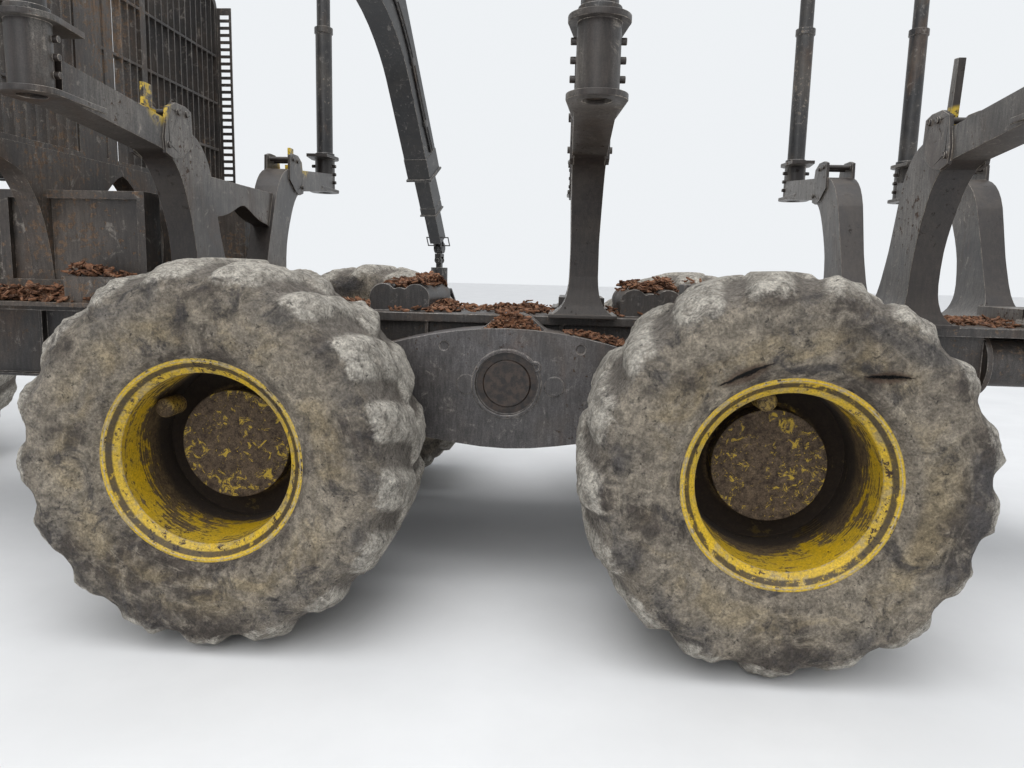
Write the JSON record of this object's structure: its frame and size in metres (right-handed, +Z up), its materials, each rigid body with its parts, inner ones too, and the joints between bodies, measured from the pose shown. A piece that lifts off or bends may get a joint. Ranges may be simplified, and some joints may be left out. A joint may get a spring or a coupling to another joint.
{
  "type": "forestry forwarder",
  "caption": "Articulated forestry forwarder on bogie wheels, with cab, hood, load bunks and stakes, headboard gate, and a telescoping log crane with grapple.",
  "frame": {"origin": "on the ground under the middle of the bounding box", "axes": "+X forward, +Y to the machine's left, +Z up"},
  "size_m": [11.0896, 8.6782, 5.7181],
  "materials": {
    "tyre_rubber": "worn, caked with dry mud",
    "yellow_rim_paint": "chipped yellow paint with mud",
    "window_glass": "tinted",
    "yellow_body_paint": "semi gloss",
    "rod_chrome": "polished",
    "dark_casting": "rough, dirty",
    "seat_fabric": "woven",
    "black_plastic": "matt",
    "bare_steel": "heat stained",
    "black_frame_paint": "worn black paint, grey at edges"
  },
  "bodies": {
    "rear_unit": {"rear_frame": "black_frame_paint", "rear_bogies": "dark_casting", "bunks": "black_frame_paint", "stakes": "black_frame_paint", "headboard": "black_frame_paint", "crane_base": "black_frame_paint"},
    "centre_yoke": {"centre_joint": "black_frame_paint"},
    "front_unit": {"front_frame": "black_frame_paint", "front_bogies": "dark_casting", "front_guard": "black_frame_paint", "fenders": "black_plastic", "cab_shell": "black_frame_paint", "cab_roof": "black_plastic", "cab_glass": "window_glass", "operator_seat": "seat_fabric", "engine_block": "dark_casting", "cab_steps": "black_frame_paint", "exhaust_stack": "bare_steel", "work_lamps": "black_plastic"},
    "left_door": {"cab_door": "yellow_body_paint", "door_glass": "window_glass"},
    "engine_cover": {"hood": "yellow_body_paint", "grille": "black_frame_paint"},
    "crane_column": {"crane_pillar": "black_frame_paint"},
    "boom": {"main_boom": "black_frame_paint"},
    "jib": {"jib_boom": "black_frame_paint"},
    "outer_extension": {"extension_1": "black_frame_paint"},
    "inner_extension": {"extension_2": "black_frame_paint"},
    "grapple_link": {"tip_link": "black_frame_paint"},
    "grapple_hanger": {"tip_hanger": "black_frame_paint"},
    "rotator": {"rotator_head": "black_frame_paint"},
    "jaw_a": {"grapple_jaw_a": "black_frame_paint"},
    "jaw_b": {"grapple_jaw_b": "black_frame_paint"},
    "lift_cylinder": {"lift_barrel": "black_frame_paint"},
    "lift_piston": {"lift_rod": "rod_chrome"},
    "jib_cylinder": {"jib_barrel": "black_frame_paint"},
    "jib_piston": {"jib_rod": "rod_chrome"},
    "wheel_rear_l1": {"tyre_rear_l1": "tyre_rubber", "rim_rear_l1": "yellow_rim_paint"},
    "wheel_rear_l2": {"tyre_rear_l2": "tyre_rubber", "rim_rear_l2": "yellow_rim_paint"},
    "wheel_rear_r1": {"tyre_rear_r1": "tyre_rubber", "rim_rear_r1": "yellow_rim_paint"},
    "wheel_rear_r2": {"tyre_rear_r2": "tyre_rubber", "rim_rear_r2": "yellow_rim_paint"},
    "wheel_front_l1": {"tyre_front_l1": "tyre_rubber", "rim_front_l1": "yellow_rim_paint"},
    "wheel_front_l2": {"tyre_front_l2": "tyre_rubber", "rim_front_l2": "yellow_rim_paint"},
    "wheel_front_r1": {"tyre_front_r1": "tyre_rubber", "rim_front_r1": "yellow_rim_paint"},
    "wheel_front_r2": {"tyre_front_r2": "tyre_rubber", "rim_front_r2": "yellow_rim_paint"}
  },
  "joints": [
    {"name": "steer", "type": "hinge", "parent": "rear_unit", "child": "centre_yoke", "pos_m": [1.125, 2.7441, 0.99266], "axis": [0, 0, -1], "range_deg": [-44, 44]},
    {"name": "frame_roll", "type": "hinge", "parent": "centre_yoke", "child": "front_unit", "pos_m": [1.555, 2.7441, 0.99266], "axis": [1, 0, 0], "range_deg": [-15, 15]},
    {"name": "door_left", "type": "hinge", "parent": "front_unit", "child": "left_door", "pos_m": [3.545, 3.6101, 2.34266], "axis": [0, 0, -1], "range_deg": [0, 75]},
    {"name": "hood_tilt", "type": "hinge", "parent": "front_unit", "child": "engine_cover", "pos_m": [5.045, 2.7441, 1.44266], "axis": [0, 1, 0], "range_deg": [0, 60]},
    {"name": "slew", "type": "hinge", "parent": "rear_unit", "child": "crane_column", "pos_m": [0.575, 2.7441, 1.64266], "axis": [0, 0, 1], "range_deg": [-267, 113]},
    {"name": "lift", "type": "hinge", "parent": "crane_column", "child": "boom", "pos_m": [0.53342, 2.54847, 3.54266], "axis": [0.9781, -0.2079, 0], "range_deg": [-51, 53]},
    {"name": "jib_fold", "type": "hinge", "parent": "boom", "child": "jib", "pos_m": [-0.15269, -0.67942, 5.34266], "axis": [-0.9781, 0.2079, 0], "range_deg": [-55, 69]},
    {"name": "extend_outer", "type": "slide", "parent": "jib", "child": "outer_extension", "axis": [-0.1102, -0.5183, -0.848], "range_m": [-0.35, 1.45]},
    {"name": "extend_inner", "type": "slide", "parent": "outer_extension", "child": "inner_extension", "axis": [-0.1102, -0.5183, -0.848], "range_m": [-0.35, 1.45]},
    {"name": "grapple_swing", "type": "hinge", "parent": "inner_extension", "child": "grapple_link", "pos_m": [-0.88038, -4.10293, 1.69266], "axis": [0.9781, -0.2079, 0], "range_deg": [-75, 75]},
    {"name": "grapple_sway", "type": "hinge", "parent": "grapple_link", "child": "grapple_hanger", "pos_m": [-0.88038, -4.10293, 1.52266], "axis": [-0.2079, -0.9781, 0], "range_deg": [-45, 45]},
    {"name": "rotator_spin", "type": "hinge", "parent": "grapple_hanger", "child": "rotator", "pos_m": [-0.88038, -4.10293, 1.19266], "axis": [0, 0, 1], "continuous": true},
    {"name": "jaw_a_open", "type": "hinge", "parent": "rotator", "child": "jaw_a", "pos_m": [-0.69453, -4.14244, 0.90266], "axis": [-0.2079, -0.9781, 0], "range_deg": [0, 65]},
    {"name": "jaw_b_open", "type": "hinge", "parent": "rotator", "child": "jaw_b", "pos_m": [-1.06623, -4.06343, 0.90266], "axis": [0.2079, 0.9781, 0], "range_deg": [0, 65]},
    {"name": "lift_barrel_pivot", "type": "hinge", "parent": "crane_column", "child": "lift_cylinder", "pos_m": [0.50015, 2.39197, 1.92266], "axis": [-0.9781, 0.2079, 0], "range_deg": [-6.86, 6.62]},
    {"name": "lift_stroke", "type": "slide", "parent": "lift_cylinder", "child": "lift_piston", "axis": [-0.0423, -0.1991, 0.9791], "range_m": [-0.4295, 0.4135]},
    {"name": "jib_barrel_pivot", "type": "hinge", "parent": "boom", "child": "jib_cylinder", "pos_m": [0.28336, 1.37204, 4.57458], "axis": [-0.9781, 0.2079, 0], "range_deg": [-1.6, 1.88]},
    {"name": "jib_stroke", "type": "slide", "parent": "jib_cylinder", "child": "jib_piston", "axis": [-0.1826, -0.8593, 0.4778], "range_m": [-0.3292, 0.2632]},
    {"name": "spin_rear_l1", "type": "hinge", "parent": "rear_unit", "child": "wheel_rear_l1", "pos_m": [-1.425, 3.8541, 0.70666], "axis": [0, 1, 0], "continuous": true},
    {"name": "spin_rear_l2", "type": "hinge", "parent": "rear_unit", "child": "wheel_rear_l2", "pos_m": [-3.435, 3.8541, 0.70666], "axis": [0, 1, 0], "continuous": true},
    {"name": "spin_rear_r1", "type": "hinge", "parent": "rear_unit", "child": "wheel_rear_r1", "pos_m": [-1.425, 1.6341, 0.70666], "axis": [0, 1, 0], "continuous": true},
    {"name": "spin_rear_r2", "type": "hinge", "parent": "rear_unit", "child": "wheel_rear_r2", "pos_m": [-3.435, 1.6341, 0.70666], "axis": [0, 1, 0], "continuous": true},
    {"name": "spin_front_l1", "type": "hinge", "parent": "front_unit", "child": "wheel_front_l1", "pos_m": [1.975, 3.8541, 0.70666], "axis": [0, 1, 0], "continuous": true},
    {"name": "spin_front_l2", "type": "hinge", "parent": "front_unit", "child": "wheel_front_l2", "pos_m": [3.475, 3.8541, 0.70666], "axis": [0, 1, 0], "continuous": true},
    {"name": "spin_front_r1", "type": "hinge", "parent": "front_unit", "child": "wheel_front_r1", "pos_m": [1.975, 1.6341, 0.70666], "axis": [0, 1, 0], "continuous": true},
    {"name": "spin_front_r2", "type": "hinge", "parent": "front_unit", "child": "wheel_front_r2", "pos_m": [3.475, 1.6341, 0.70666], "axis": [0, 1, 0], "continuous": true}
  ],
  "couplings": [
    {"joint": "extend_inner", "follows": "extend_outer", "ratio": 1},
    {"joint": "jaw_b_open", "follows": "jaw_a_open", "ratio": 1},
    {"joint": "lift_barrel_pivot", "follows": "lift", "ratio": -0.12},
    {"joint": "lift_stroke", "follows": "lift", "m_per_rad": -0.46},
    {"joint": "jib_barrel_pivot", "follows": "jib_fold", "ratio": 0.02},
    {"joint": "jib_stroke", "follows": "jib_fold", "m_per_rad": -0.27}
  ]
}
